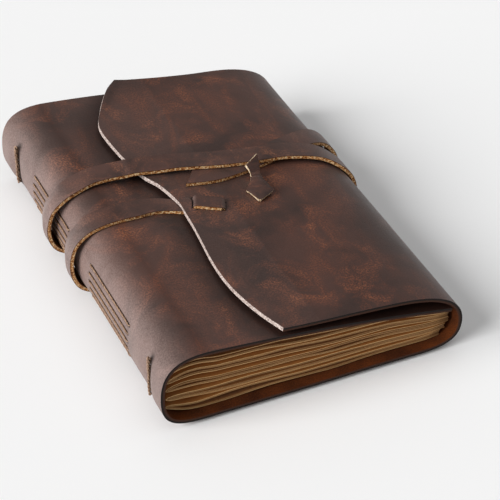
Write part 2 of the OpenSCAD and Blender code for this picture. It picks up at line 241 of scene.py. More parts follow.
# twisted linen thread drawn through beeswax: brown with a soft shine
def waxedThread(name, light, dark):
    material = newMaterial(name)
    tree = material.node_tree
    place = node(tree, "ShaderNodeTexCoord").outputs["Object"]
    fibres = noiseAt(tree, place, 0.6, 3, 0.6)
    furrowShade = node(tree, "ShaderNodeAttribute", attribute_name="furrowShade").outputs["Fac"]
    # painted shade in the furrows between the twisted plies
    colour = mixColour(tree, furrowShade, ramp(tree, fibres, [(0.35, dark), (0.6, light)]), "#1c0f08")
    return finishMaterial(material, colour, 0.5, fibres, 0.05)


coverGrain = pullUpLeather("pullUpLeather", grainLook)
coverFlesh = fleshSide("suedeFlesh", "#693410", "#2c1103")
coverEdge = cutEdge("coverCutEdge", "#d8cac2", "#b3a29a", "#84716a", 0.8, burnished="#140c09")
strapLook = dict(grainLook, dark="#33201a", middle="#4a2f27", rust="#6a3c2b", pale="#9a6848",
                 blotch=18, patch=11, bendPaleAndSheenShare=0.78)
strapGrain = pullUpLeather("strapLeather", strapLook)
strapFlesh = fleshSide("strapFlesh", "#a06a30", "#54300f")
strapEdge = cutEdge("rawStrapEdge", "#fbe3b4", "#c4864a", "#5a2e10", 1.0, border="#3d1c0b")
toggleEdge = cutEdge("rawThongEdge", "#f8eedb", "#e0c69f", "#9c6c36", 0.7)
# the leaf faces are darker than the cut ends: partly the paper's colour, partly painted shade for the gaps between the
# leaves
pageFaceWithGapShade = kraftPaper("kraftPage", "#9c6128", "#5d3410", 1.5)
pageCut = kraftPaper("kraftPageEdge", "#e0b67c", "#7a4d1e", 0.5)
thread = waxedThread("waxedLinen", "#b08e72", "#5c3d2c")
print("materials made")


# ---- the skin of the book, in millimetres: curves along the outside of the leather

book = dict(
    length=203, width=154, leather=2.0, baseZ=2.15,
    spineHigh=40.3, spineMid=20.96, foreMid=13, edgeHigh=23.7, flapLow=37, flapRise=3.5, flapX=41, flapTip=-39,
    pullIn=1.7, cornerLift=3.7, edgeCurl=1.3, signatures=5, foldLow=8.7, foldPitch=4.9)
half = book["width"] / 2
spineHigh = book["spineHigh"]
tipHigh = spineHigh + book["flapRise"]
skin = dict(
    front=[(half - 6.5, book["edgeHigh"]), (20, spineHigh - 7.2), (-20, spineHigh - 2.4), (-half + 21.5, spineHigh)],
    shoulder=[(-half + 21.5, spineHigh), (-half + 8, spineHigh + 0.3), (-half, spineHigh - 4.3),
              (-half, book["spineMid"])],
    heel=[(-half, book["spineMid"]), (-half, 7), (-half + 4, 0), (-half + 22, 0)],
    back=[(-half + 22, 0), (-20, 0), (20, 0), (half - 21, 0)],
    foreLow=[(half - 21, 0), (half - 6, 0), (half, 3.5), (half, book["foreMid"])],
    foreHigh=[(half, book["foreMid"]), (half, 25), (half - 10, book["flapLow"] - 2.5),
              (book["flapX"], book["flapLow"])],
    flap=[(book["flapX"], book["flapLow"]), (23, book["flapLow"] + 1.8), (-7, book["flapLow"] + 2.8),
          (book["flapTip"], tipHigh)])


def bezier(points, t):
    a, b, c, d = (Vector(p) for p in points)
    return a * (1 - t) ** 3 + b * (3 * t * (1 - t) ** 2) + c * (3 * t * t * (1 - t)) + d * t ** 3


def bezierWay(points, t):
    a, b, c, d = (Vector(p) for p in points)
    return ((b - a) * (1 - t) ** 2 + (c - b) * (2 * t * (1 - t)) + (d - c) * t * t).normalized()


# the parameter of a curve at which coordinate axis reaches value
def findAt(points, value, axis=0):
    low, high = 0.0, 1.0
    rising = points[3][axis] > points[0][axis]
    for i in range(24):
        middle = (low + high) / 2
        if (bezier(points, middle)[axis] < value) == rising:
            low = middle
        else:
            high = middle
    return (low + high) / 2


# the whole walk round the book: distance, place, outward direction and curve
walkSteps = 80   # of each curve
walk = []
for segment, points in skin.items():
    for i in range(walkSteps):
        place, way = bezier(points, i / walkSteps), bezierWay(points, i / walkSteps)
        gone = walk[-1][0] + (place - walk[-1][1]).length if walk else 0.0
        walk.append((gone, place, Vector((way.y, -way.x)), segment))
place, way = bezier(skin["flap"], 1.0), bezierWay(skin["flap"], 1.0)
walk.append((walk[-1][0] + (place - walk[-1][1]).length, place, Vector((way.y, -way.x)), "flap"))
segmentStart = {name: next(w[0] for w in walk if w[3] == name) for name in skin}


def onWalk(s):
    low, high = 0, len(walk) - 1
    while high - low > 1:
        middle = (low + high) // 2
        if walk[middle][0] <= s:
            low = middle
        else:
            high = middle
    a, b = walk[low], walk[high]
    t = (s - a[0]) / (b[0] - a[0])
    return a[1].lerp(b[1], t), a[2].lerp(b[2], t).normalized()


# distance along the walk for a parameter on one of its curves
def walked(segment, t):
    target = bezier(skin[segment], t)
    start = segmentStart[segment]
    rows = [w for w in walk if w[3] == segment]
    index = min(int(t * walkSteps), len(rows) - 1)
    return rows[index][0] + (target - rows[index][1]).length


def smooth(t):
    t = max(0.0, min(1.0, t))
    return t * t * (3 - 2 * t)


def spline(points, steps):
    made = []
    for i in range(len(points) - 1):
        a, b, c, d = (Vector(points[max(0, min(len(points) - 1, i + k))]) for k in (-1, 0, 1, 2))
        for k in range(steps):
            t = k / steps
            made.append(0.5 * (
                2 * b + (c - a) * t + (2 * a - 5 * b + 4 * c - d) * t * t + (3 * b - a - 3 * c + d) * t ** 3))
    made.append(Vector(points[-1]))
    return made


cover = dict(
    columns=dict(front=3.4, shoulder=1.5, spine=0.5, heel=1.2, back=4.5, fore=1.6, flap=48), along=96,
    bevel=0.3, hole=1.4,
    stations=(84.5, 60, 14, -14, -60, -84.5), grooveWide=0.9, grooveDeep=0.6, dimpleWide=3.2, dimpleDeep=1.8,
    lipRise=1.8, waveSink=1.1, ripple=0.35, stitchShade=1.6, waveShade=0.8,
    wave=[(-15.2, 101.5), (-18.1, 98.9), (-22.3, 94.5), (-27.5, 87), (-31.4, 80.4), (-35.8, 72), (-37.7, 64.7),
          (-37.7, 55.3), (-36.7, 44), (-35.2, 36.3), (-31.9, 22), (-27.9, 13), (-24.8, -1), (-25.1, -11),
          (-25.8, -22.5), (-27.2, -35.3),
          (-28.6, -47.7), (-29, -60), (-28.2, -70.3), (-26.2, -80.1), (-23.5, -89.2), (-20.3, -97.1), (-18.4, -101.5)],
    tabRight=(-5.4, -10.8), tabLeft=(-17.8, -5.2), slitWide=3.0, slitLong=10.0, slitShort=7.4,
    toggleAt=(19.6, 5.0), toggleHole=1.9)
crossAt, stitchEnd, stitchStart = cover["stations"][:3]


def foldZ(k):
    return book["foldLow"] + k * book["foldPitch"]


def spineWalk(z):
    segment = "shoulder" if z > book["spineMid"] else "heel"
    return walked(segment, findAt(skin[segment], z, 1))


foldWalk = [spineWalk(foldZ(k)) for k in range(book["signatures"])]


# how deep the long stitches have bedded into the leather at a point of the spine
def bedded(s, y):
    reach = smooth((abs(y) - stitchStart + 1.5) / 3) * smooth((stitchEnd + 1.5 - abs(y)) / 3)
    near = min(abs(s - fold) for fold in foldWalk)
    return reach * math.exp(-(near / cover["grooveWide"]) ** 2)


# how much the flap's leather rises to the strap beside the left slit, and sinks under it at the wave edge
def lipBump(s, y):
    if s < segmentStart["flap"]:
        return 0.0
    x = onWalk(s)[0].x
    slit = cover["tabLeft"]
    near = math.exp(-((x - slit[0] + 1.5) / 3.1) ** 2 - ((y - slit[1]) / 4.4) ** 4)
    rise = cover["lipRise"] * near * smooth((slit[0] - 0.9 - x) / 0.6)
    sink = cover["waveSink"] * math.exp(-((y - 28.5) / 10) ** 2) * smooth((-22 - x) / 12)
    return rise - sink


# the leather isn't quite flat: the sewing pulls the spine in, and the flap's head corner lifts
def wrap(s, y, off=0.0):
    place, out = onWalk(s)
    spine = smooth((s - segmentStart["shoulder"] - 9) / 14) * smooth((segmentStart["back"] - 13 - s) / 12)
    pull = smooth((93 - abs(y)) / 14) * (1 - 0.45 * math.exp(-(y / 9) ** 2))
    dimple = 0.0
    if spine:
        dimple = math.exp(-((abs(y) - crossAt) / cover["dimpleWide"]) ** 2)
        dimple *= max(0.0, math.sin(math.pi * (place.y - 6.5) / 24))
    inward = book["pullIn"] * spine * pull + cover["grooveDeep"] * bedded(s, y) + cover["dimpleDeep"] * dimple
    climb = max(0.0, min(1.0, (s - segmentStart["flap"] - 10) / 50)) ** 1.3
    lift = book["cornerLift"] * climb * max(0.0, min(1.0, (y - 74) / 27.5)) ** 2.2
    if climb and y > 70:
        curl = math.exp(-((place.x - waveX(y)) / 3.6) ** 2) * smooth((y - 72) / 20)
        lift += book["edgeCurl"] * curl * (1 - 0.75 * smooth((y - 93) / 8))
    lift += lipBump(s, y)
    ripple = cover["ripple"] * noise.noise(Vector((s / 45, y / 55, 3.1))) * smooth((abs(y - 15) - 26) / 25)
    point = place + out * (off - inward + ripple * (1 - spine))
    return Vector((point.x, y, point.y + book["baseZ"] + lift))


# ---- sheet tools

# a flat sheet in millimetres, laid out by a function of two parameters from 0 to 1
def flatSheet(across, along, layOut):
    bm = bmesh.new()
    bmesh.ops.create_grid(bm, x_segments=across, y_segments=along, size=0.5)
    for vert in bm.verts:
        u, v = layOut(vert.co.x + 0.5, vert.co.y + 0.5)
        vert.co = (u, v, 0)
    return bm


# cuts a convex hole with its sides at a distance from its centre, each side given by its direction
def cutHole(bm, centre, sides):
    centre = Vector((centre[0], centre[1], 0))
    reach = max(distance for direction, distance in sides) + 4
    for direction, distance in sides:
        faces = [f for f in bm.faces if (f.calc_center_median() - centre).length < reach]
        geometry = faces + list({e for f in faces for e in f.edges}) + list({v for f in faces for v in f.verts})
        way = Vector((math.cos(direction), math.sin(direction), 0))
        bmesh.ops.bisect_plane(bm, geom=geometry, dist=1e-4, plane_co=centre + way * distance, plane_no=way)
    inside = []
    for face in bm.faces:
        spot = face.calc_center_median() - centre
        if all(spot.x * math.cos(a) + spot.y * math.sin(a) < d for a, d in sides):
            inside.append(face)
    bmesh.ops.delete(bm, geom=inside, context="FACES")


def slotSides(angle, wide, long):
    return [(angle, wide / 2), (angle + math.pi, wide / 2),
            (angle + math.pi / 2, long / 2), (angle - math.pi / 2, long / 2)]


# bends a flat sheet into its place, keeping the flat layout as its UV map
def shapeSheet(bm, shape):
    flat = bm.loops.layers.uv.new("flat")
    for face in bm.faces:
        face.smooth = True
        for loop in face.loops:
            loop[flat].uv = (loop.vert.co.x * mm, loop.vert.co.y * mm)
    for vert in bm.verts:
        vert.co = shape(vert.co.x, vert.co.y) * mm
    return bm


def finishSheet(bm, name, thickness, materials, bevel, offset=-1.0):
    mesh = bpy.data.meshes.new(name)
    bm.to_mesh(mesh)
    bm.free()
    for material in materials:
        mesh.materials.append(material)
    sheet = addObject(name, mesh)
    solidify = sheet.modifiers.new("thickness", "SOLIDIFY")
    solidify.thickness = thickness * mm
    solidify.offset = offset
    solidify.material_offset = min(1, len(materials) - 1)
    solidify.material_offset_rim = min(2, len(materials) - 1)
    thick = bpy.data.meshes.new_from_object(sheet.evaluated_get(bpy.context.evaluated_depsgraph_get()))
    depth = thick.attributes.new("depth", "FLOAT", "POINT")   # 0 on the side laid out, 1 on the other
    depth.data.foreach_set("value", [float(i >= len(mesh.vertices)) for i in range(len(thick.vertices))])
    sheet.modifiers.clear()
    sheet.data = thick
    if bevel:
        rounding = sheet.modifiers.new("edges", "BEVEL")
        rounding.width = bevel * mm
        rounding.segments = 2
        rounding.limit_method = "ANGLE"
        rounding.angle_limit = math.radians(55)
        rounding.harden_normals = True
        rounding.material = len(materials) - 1
    return sheet


def mountPiece(piece, slotName, *nodes):
    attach(piece, "root")
    if nodes:
        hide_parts(*nodes)


# ---- cover: one sheet, cut flat and wrapped round the pages

waveLine = spline(cover["wave"], 4)


def waveX(y):
    for a, b in zip(waveLine, waveLine[1:]):
        if a.y >= y >= b.y:
            return a.x + (b.x - a.x) * (y - a.y) / (b.y - a.y)
    return waveLine[0].x if y > 0 else waveLine[-1].x


# columns of the sheet lie closest together on the spine, where the stitches bed in
def spread(start, end, gap):
    count = max(1, round((end - start) / gap))
    return [start + (end - start) * i / count for i in range(count)]


spineTop, spineEnd = foldWalk[-1] - 3, foldWalk[0] + 3
gaps = cover["columns"]
columns = spread(0, segmentStart["shoulder"], gaps["front"])
columns += spread(segmentStart["shoulder"], spineTop, gaps["shoulder"])
columns += spread(spineTop, spineEnd, gaps["spine"]) + spread(spineEnd, segmentStart["back"], gaps["heel"])
columns += spread(segmentStart["back"], segmentStart["foreLow"], gaps["back"])
columns += spread(segmentStart["foreLow"], segmentStart["flap"], gaps["fore"])
across = len(columns) + gaps["flap"]


def coverLayout(u, v):
    y = book["length"] * (0.5 - v)
    column = round(u * across)
    if column < len(columns):
        return columns[column], y
    flapEnd = walked("flap", findAt(skin["flap"], waveX(y)))
    return segmentStart["flap"] + (flapEnd - segmentStart["flap"]) * (column - len(columns)) / gaps["flap"], y


def flapWalk(x):
    return walked("flap", findAt(skin["flap"], x))


# painted shade: darker in the grooves beside the stitches, in the dimples by the cross stitches, and on the front
# beside the flap's wave edge
def shadeAt(s, y):
    x = onWalk(s)[0].x
    stitches = bedded(s, y) if x < 0 else 0.0
    if x < -half + 12 and s > segmentStart["shoulder"]:
        high = smooth((16 - abs(onWalk(s)[0].y - 18.5)) / 4)
        # painted shadow in the dimple beside each cross stitch
        stitches += 0.8 * math.exp(-((abs(y + 1.6) - crossAt) / 1.5) ** 2) * high
    # painted shade on the front cover beside the flap's wave edge
    beside = smooth((x - waveX(y) + 17) / 17) if s < segmentStart["shoulder"] else 0.0
    return min(1.0, cover["stitchShade"] * stitches + cover["waveShade"] * beside)


coverBm = flatSheet(across, cover["along"], coverLayout)
tabRight, tabLeft = Vector(cover["tabRight"]), Vector(cover["tabLeft"])
tabAngle = math.atan2(tabLeft.y - tabRight.y, -(tabLeft.x - tabRight.x))
for spot, slit in ((tabRight, cover["slitShort"]), (tabLeft, cover["slitLong"])):
    cutHole(coverBm, (flapWalk(spot.x), spot.y), slotSides(tabAngle, cover["slitWide"], slit))
cutHole(coverBm, (flapWalk(cover["toggleAt"][0]), cover["toggleAt"][1]),
        [(math.radians(45 * i), cover["toggleHole"]) for i in range(8)])
for fold in foldWalk:
    for y in cover["stations"]:
        cutHole(coverBm, (fold, y), slotSides(0, cover["hole"], cover["hole"]))
for key in ("shade", "bendPaleAndSheen", "inward"):
    coverBm.verts.layers.float.new(key)
shade, bendPaleAndSheen, inward = (coverBm.verts.layers.float[key] for key in ("shade", "bendPaleAndSheen", "inward"))
for vert in coverBm.verts:
    vert[shade] = shadeAt(vert.co.x, vert.co.y)
    around, out = onWalk(vert.co.x)
    # painted sheen: full on the spine side, which faces the key light, weaker on the fore-edge side; partly the real
    # paling of bent leather
    vert[bendPaleAndSheen] = abs(out.x) ** 0.85 * (1.0 if around.x < 0 else 0.4)
    vert[inward] = smooth((around.x - waveX(vert.co.y) - 1.5) / 1.5) if vert.co.x > segmentStart["flap"] else 1.0
shapeSheet(coverBm, wrap)
coverPiece = finishSheet(
    coverBm, "leatherCover", book["leather"], [coverGrain, coverFlesh, coverEdge], cover["bevel"])
mountPiece(coverPiece, "cover_leather", "cover")
print("cover wrapped")


# ---- strap: woven through the slits, then wound twice round the book

strap = dict(
    width=12, thick=2.0, room=0.15, pinch=3.6, slant=-3.8, roll=2.0, crown=0.08, bendRadius=1.15, bendAngle=76,
    steps=5, rows=6, bevel=0.3)
onTop = strap["thick"] / 2 + strap["room"]
beneath = -book["leather"] - strap["thick"] / 2 - strap["room"]


def onFlap(x, y, off):
    point, out = onWalk(flapWalk(x))
    return Vector((point.x + out.x * off, y, point.y + out.y * off + book["baseZ"]))


def onFront(x, y):
    point, out = onWalk(walked("front", findAt(skin["front"], x)))
    return Vector((point.x + out.x * onTop, y, point.y + out.y * onTop + book["baseZ"]))


def ride(segment, t, y, lift=0.0):
    point, way = bezier(skin[segment], t), bezierWay(skin[segment], t)
    off = onTop + lift
    return Vector((point.x + way.y * off, y, point.y - way.x * off + book["baseZ"]))


bendAngle = math.radians(strap["bendAngle"])
diveHigh = onTop - beneath
diveLong = (2 * strap["bendRadius"] * math.sin(bendAngle)
            + (diveHigh - 2 * strap["bendRadius"] * (1 - math.cos(bendAngle))) / math.tan(bendAngle))
bend = [Vector((math.sin(bendAngle * i / 6), 1 - math.cos(bendAngle * i / 6))) * strap["bendRadius"] for i in range(7)]
dive = bend + [Vector((diveLong, diveHigh)) - b for b in reversed(bend)]
tabLean = (tabLeft.y - tabRight.y) / (tabLeft.x - tabRight.x)


def tabY(x):
    return tabRight.y + (x - tabRight.x) * tabLean


tabRoute = [onFlap(10, tabY(8), beneath), onFlap(4, tabY(4), beneath)]
for slit, shift, low, turn in ((tabRight, 0.4, beneath, 1), (tabLeft, -0.4, onTop, -1)):
    start = slit.x + diveLong / 2 + shift
    tabRoute += [onFlap(start - q.x, tabY(start - q.x), low + turn * q.y) for q in dive]
wound = [
    onFlap(-22, -3, beneath), onFront(-28, -0.3), onFront(-34, 1.6), onFront(-41, 2.4),
    ride("front", 0.92, 1.8), ride("shoulder", 0, 1.3),
    ride("shoulder", 0.25, 0.9, 0.2), ride("shoulder", 0.5, 1, 0.9), ride("shoulder", 0.75, 1.5, 1.8),
    ride("heel", 0, 2.2, 1.9), ride("heel", 0.25, 2.8, 1), ride("heel", 0.5, 3.4, 0.2),
    ride("heel", 0.75, 3.8), ride("heel", 0.93, 3.8), ride("back", 0.03, 3.8), ride("back", 0.2, 4),
    ride("back", 0.5, 4.6), ride("back", 0.8, 5.7), ride("back", 0.97, 6.4), ride("foreLow", 0.06, 6.6),
    ride("foreLow", 0.25, 7), ride("foreLow", 0.5, 8.4, 0.1), ride("foreLow", 0.75, 10.2, 0.2),
    ride("foreHigh", 0, 11.6, 0.3), ride("foreHigh", 0.25, 12.6, 0.3), ride("foreHigh", 0.5, 13.6, 0.6),
    ride("foreHigh", 0.75, 16, 2.05), ride("flap", 0, 18.4, 2.55), ride("flap", 0.25, 19.4, 2.3),
    ride("flap", 0.5, 21.2, 2.3), ride("flap", 0.74, 24.8, 2.3), ride("flap", 0.84, 26.4, 1.3),
    ride("flap", 0.91, 27.6, 0.7), ride("flap", 0.98, 28.7, 0), ride("front", 0.87, 29.4, 3.8),
    ride("front", 0.94, 30.6, 2.6), ride("shoulder", 0.05, 31, 1.3),
    ride("shoulder", 0.25, 30, 0.6), ride("shoulder", 0.5, 29.3, 1.1), ride("shoulder", 0.75, 30.2, 2),
    ride("heel", 0, 32, 2), ride("heel", 0.25, 33.6, 1), ride("heel", 0.5, 34.8, 0.2),
    ride("heel", 0.75, 35.2), ride("heel", 0.93, 35.15), ride("back", 0.03, 35.1), ride("back", 0.2, 34.6),
    ride("back", 0.5, 33.4), ride("back", 0.8, 32.1), ride("back", 0.97, 31.4), ride("foreLow", 0.06, 31.2),
    ride("foreLow", 0.25, 31, 0.1), ride("foreLow", 0.5, 31.2, 0.7), ride("foreLow", 0.75, 32.2, 1.4),
    ride("foreHigh", 0, 33.8, 1.7), ride("foreHigh", 0.25, 35.2, 1.4), ride("foreHigh", 0.5, 35, 0.8),
    ride("foreHigh", 0.75, 30.4, 0.3), ride("flap", 0, 24.0), ride("flap", 0.2, 19.6), ride("flap", 0.4, 15.6),
    ride("flap", 0.57, 13.2), ride("flap", 0.71, 14)]
strapRoute = tabRoute + spline(wound, strap["steps"])
strapGone = [0.0]
for a, b in zip(strapRoute, strapRoute[1:]):
    strapGone.append(strapGone[-1] + (b - a).length)
tabSide = Vector((tabLeft.y - tabRight.y, tabRight.x - tabLeft.x, 0)).normalized()


# place, direction, head side and outward normal of the strap at one point of its route
def strapFrame(i):
    last = len(strapRoute) - 1
    way = (strapRoute[min(i + 1, last)] - strapRoute[max(i - 1, 0)]).normalized()
    side = tabSide if i < len(tabRoute) else way.cross(Vector((way.z, 0, -way.x))).normalized()
    return strapRoute[i], way, side, side.cross(way).normalized()


def nearestRing(s):
    return min(range(len(strapGone)), key=lambda n: abs(strapGone[n] - s))


def strapShape(across, s):
    i = nearestRing(s)
    centre, way, side, out = strapFrame(i)
    share = across / (strap["width"] / 2)
    wide = strap["width"] - strap["pinch"] * max(0.0, min(1.0, 1 - (i - len(tabRoute)) / 17))
    wide *= 0.66 + 0.34 * smooth((i - 8) / 7)
    ending = strap["slant"] * smooth((i - len(strapRoute) + 8) / 7)
    sunk = strap["crown"] * share * share   # the middle of the strap stands a little proud of its edges
    rolled = 0.0
    if i > len(tabRoute):
        rolled = strap["roll"] * max(0.0, share) * smooth((-out.x - 0.3) / 0.5)
    return centre + side * share * wide / 2 + way * share * ending + out * (strap["thick"] / 2 - sunk - rolled)


strapBm = flatSheet(strap["rows"], len(strapRoute) - 1, lambda u, v: (
    strap["width"] * (u - 0.5), strapGone[round(v * (len(strapRoute) - 1))]))
bendPaleAndSheen = strapBm.verts.layers.float.new("bendPaleAndSheen")
# painted sheen on the strap where it faces sideways round the spine and fore edge, partly the real paling of bent
# leather
for vert in strapBm.verts:
    vert[bendPaleAndSheen] = abs(strapFrame(nearestRing(vert.co.y))[3].x) ** 1.2
shapeSheet(strapBm, strapShape)
strapPiece = finishSheet(
    strapBm, "leatherStrap", strap["thick"], [strapGrain, strapFlesh, strapEdge], strap["bevel"])
mountPiece(strapPiece, "strap_leather", "strap")
print("strap wound")


# ---- toggle: a short thong pinched through the hole of the flap

toggle = dict(thick=1.6, stemRadius=1.6, stopRadius=4.2, stopThick=1.5, bevel=0.25, steps=5, rows=8)
togglePlace = onFlap(cover["toggleAt"][0], cover["toggleAt"][1], 0)
togglePlace.x = cover["toggleAt"][0]
overStrap = 2 * (strap["thick"] + strap["room"]) + toggle["thick"] / 2
# each row: place, width, arch, roll in degrees, slant
thongRows = [
    ((-6.6, -18.2, 1.5), 1.6, 0, 0, 0), ((-3.4, -11.6, 1.5), 13.6, 1.6, 0, 0), ((-2.4, -8, 1.8), 10.4, 2, 0, 0),
    ((-1.3, -4, 2.1), 6.6, 1.4, 0, 0), ((-0.5, -1.2, 2.1), 4.8, 0.2, 0, 0), ((0, 1.2, 2.5), 5, 0.2, -4, 0),
    ((0.1, 2.6, overStrap - 1.2), 6, 0.2, -10, 0.2), ((0.2, 4.6, overStrap + 0.2), 7.6, 0.3, -14, 0.8),
    ((0.3, 6.8, overStrap + 1.7), 8.6, 0.3, -14, 2.6)]


def thongShape(across, s):
    t = s / 10
    i = min(int(t), len(thongRows) - 2)
    f = t - i
    rows = [thongRows[max(0, min(len(thongRows) - 1, i + k))] for k in (-1, 0, 1, 2)]
    points = [Vector(r[0]) for r in rows]
    straight = i == 0
    a, b = rows[1], rows[2]
    centre = points[1].lerp(points[2], f) if straight else (
        0.5 * (2 * points[1] + (points[2] - points[0]) * f
               + (2 * points[0] - 5 * points[1] + 4 * points[2] - points[3]) * f * f
               + (3 * points[1] - points[0] - 3 * points[2] + points[3]) * f ** 3))
    way = (points[2] - points[1]).normalized().lerp((points[3] - points[0]).normalized(), 0.5).normalized()
    wide, arch, roll, slant = (a[k] + (b[k] - a[k]) * (f if straight or k > 2 else smooth(f)) for k in (1, 2, 3, 4))
    flat = Vector((way.y, -way.x, 0)).normalized()
    up = flat.cross(way)
    side = flat * math.cos(math.radians(roll)) + up * math.sin(math.radians(roll))
    out = up * math.cos(math.radians(roll)) - flat * math.sin(math.radians(roll))
    share = across / 5
    return togglePlace + centre + side * share * wide / 2 + way * slant * share + out * (
        toggle["thick"] / 2 + arch * (1 - share * share))


rowCount = (len(thongRows) - 1) * toggle["steps"]
thongBm = flatSheet(toggle["rows"], rowCount, lambda u, v: (u * 10 - 5, v * (len(thongRows) - 1) * 10))
shapeSheet(thongBm, thongShape)
togglePiece = finishSheet(
    thongBm, "leatherToggle", toggle["thick"], [strapGrain, strapFlesh, toggleEdge], toggle["bevel"])
mountPiece(togglePiece, "toggle_leather", "toggle")

stemBm = bmesh.new()
for radius, low, high in ((toggle["stemRadius"], -2.3, 2.2), (toggle["stopRadius"], -3.8, -2.3)):
    bmesh.ops.create_cone(
        stemBm, cap_ends=True, segments=32, radius1=radius * mm, radius2=radius * mm, depth=(high - low) * mm,
        matrix=Matrix.Translation((togglePlace + Vector((0, 0, (low + high) / 2))) * mm))
stemMesh = bpy.data.meshes.new("toggleStem")
stemBm.to_mesh(stemMesh)
stemBm.free()
stemMesh.materials.append(toggleEdge)
stemPiece = addObject("toggleStem", stemMesh)
mountPiece(stemPiece, "toggle_leather")
print("toggle made")


# ---- pages: five signatures of nested folded sheets

pages = dict(
    overhang=5, room=0.35, sheets=5, paper=0.25, pitch=0.28, gape=3.8,
    noseX=-half + 4.8, noseLong=4, noseSpan=18, across=90, along=10,
    ends=(68.9, 71.3, 72.9, 72.4, 73.2))
foldHalf = book["foldPitch"] / 2 - 0.1


def skinZ(segment, x, off):
    t = findAt(skin[segment], x)
    point, way = bezier(skin[segment], t), bezierWay(skin[segment], t)
    return point.y - way.x * off


inside = -book["leather"] - pages["room"]


def ease(u):
    return math.sin(math.pi / 2 * max(0.0, min(1.0, u)))


def roofZ(x):
    return skinZ("front", min(x, half - 7), inside) - max(0, x - 40) * 0.06


def blockLow(x):
    flat = book["leather"] + pages["room"]
    under = foldZ(0) - foldHalf
    if x < 0:
        return under + (flat - under) * ease((x - pages["noseX"]) / pages["noseSpan"])
    return flat if x < half - 21 else skinZ("foreLow", x, inside)


def blockHigh(x):
    top = foldZ(book["signatures"] - 1) + foldHalf
    end = pages["noseX"] + pages["noseSpan"]
    if x < end:
        return top + (roofZ(end) - top) * ease((x - pages["noseX"]) / pages["noseSpan"])
    return roofZ(x)


# a point of one folded sheet: t runs from the lower fore edge round the fold to the upper one
def sheetPoint(k, j, t, y):
    side = -1 if t < 0.5 else 1
    nose = pages["noseX"] + j * pages["pitch"] * 1.2
    fore = pages["ends"][k] - 0.12 * j + 0.5 * noise.noise(Vector((k * 3.7, j * 2.3 + side, 0.5)))
    away = abs(2 * t - 1)
    x = nose + (fore - nose) * away ** 2.2
    low, high = blockLow(x), blockHigh(x)
    gape = pages["gape"] * smooth((x + 70) / 24) * smooth((48 - x) / 50) * smooth((abs(y) - 40) / 50)
    full = (high - gape - low) / book["signatures"]
    leaves = pages["sheets"] * pages["pitch"]
    free = max(0.0, full / 2 - leaves - 0.04)
    opening = min(0.95, max(0.0, 0.42 + 1.0 * noise.noise(Vector((x / 30, y / 130, k * 1.9 + side * 0.8)))))
    opening *= smooth((x - pages["noseX"] - 1) / 9) * (1 - 0.85 * smooth((x - 5) / 45))
    lean = 0.35 * (pages["sheets"] - 1 - j) * pages["pitch"] * noise.noise(Vector((x / 25, y / 90, k * 4.3 + side)))
    away = free * opening + (pages["sheets"] - j - 0.5) * pages["pitch"] + min(free * 0.5, max(0, lean))
    curve = max(0.01, (pages["sheets"] - j) / pages["sheets"]) ** 0.6 * pages["noseLong"]
    rounded = math.sqrt(max(0.0, 1 - (1 - min(1.0, (x - nose) / curve)) ** 2))
    if k == book["signatures"] - 1 and side > 0 and j < 2:   # the two top leaves stay up against the cover
        low += gape * (1 - 0.25 * j)
    return Vector((x, y, low + full * (k + 0.5) + side * away * rounded + book["baseZ"]))


for k in range(book["signatures"]):
    number = book["signatures"] - k   # counted from the top
    signatureBm = bmesh.new()
    for j in range(pages["sheets"]):
        sheetBm = bmesh.new()
        bmesh.ops.create_grid(sheetBm, x_segments=pages["across"], y_segments=pages["along"], size=0.5)
        reach = book["length"] / 2 - pages["overhang"] + 0.3 * noise.noise(Vector((k * 1.3, j * 1.7, 9.1)))
        for vert in sheetBm.verts:
            vert.co = sheetPoint(k, j, vert.co.x + 0.5, 2 * reach * vert.co.y) * mm
        for face in sheetBm.faces:
            face.smooth = True
        bmesh.ops.reverse_faces(sheetBm, faces=sheetBm.faces)
        # painted highlight: the outermost leaf of each signature is given a lighter tone; the other leaves vary in
        # tone at random
        toneAndHighlight = sheetBm.verts.layers.float.new("toneAndHighlight")   # the outermost leaf catches the light, the others vary
        for vert in sheetBm.verts:
            vert[toneAndHighlight] = 0.9 if j == 0 else 0.38 + 0.6 * noise.noise(Vector((k * 5.1, j * 3.7, 2.2)))
        sheetMesh = bpy.data.meshes.new("sheet")
        sheetBm.to_mesh(sheetMesh)
        sheetBm.free()
        signatureBm.from_mesh(sheetMesh)
        bpy.data.meshes.remove(sheetMesh)
    signature = finishSheet(
        signatureBm, f"paperSignature{number}", pages["paper"], [pageFaceWithGapShade, pageFaceWithGapShade, pageCut], 0, 0.0)
    mountPiece(signature, "kraft_paper", f"signature_{number}")
print("pages folded")


# ---- thread: long stitches in the middle, cross stitches near the head and the tail

sewing = dict(
    radius=0.5, room=0.06, gutter=2.4, crossPitch=4.4, crossSteps=60, twist=3.0, lobes=3, lobeDepth=0.26,
    sides=12, corner=0.9, spacing=0.6)


def outsideAt(k, y):
    return wrap(foldWalk[k], y, sewing["radius"] + sewing["room"])


def insideAt(k, y):
    return Vector((pages["noseX"] + sewing["gutter"], y, foldZ(k) + book["baseZ"]))


# one long stitch along the spine, from one station to the next
def longStitch(k, start, end):
    return [outsideAt(k, start + (end - start) * t) for t in (0, 0.07, 0.3, 0.7, 0.93, 1)]


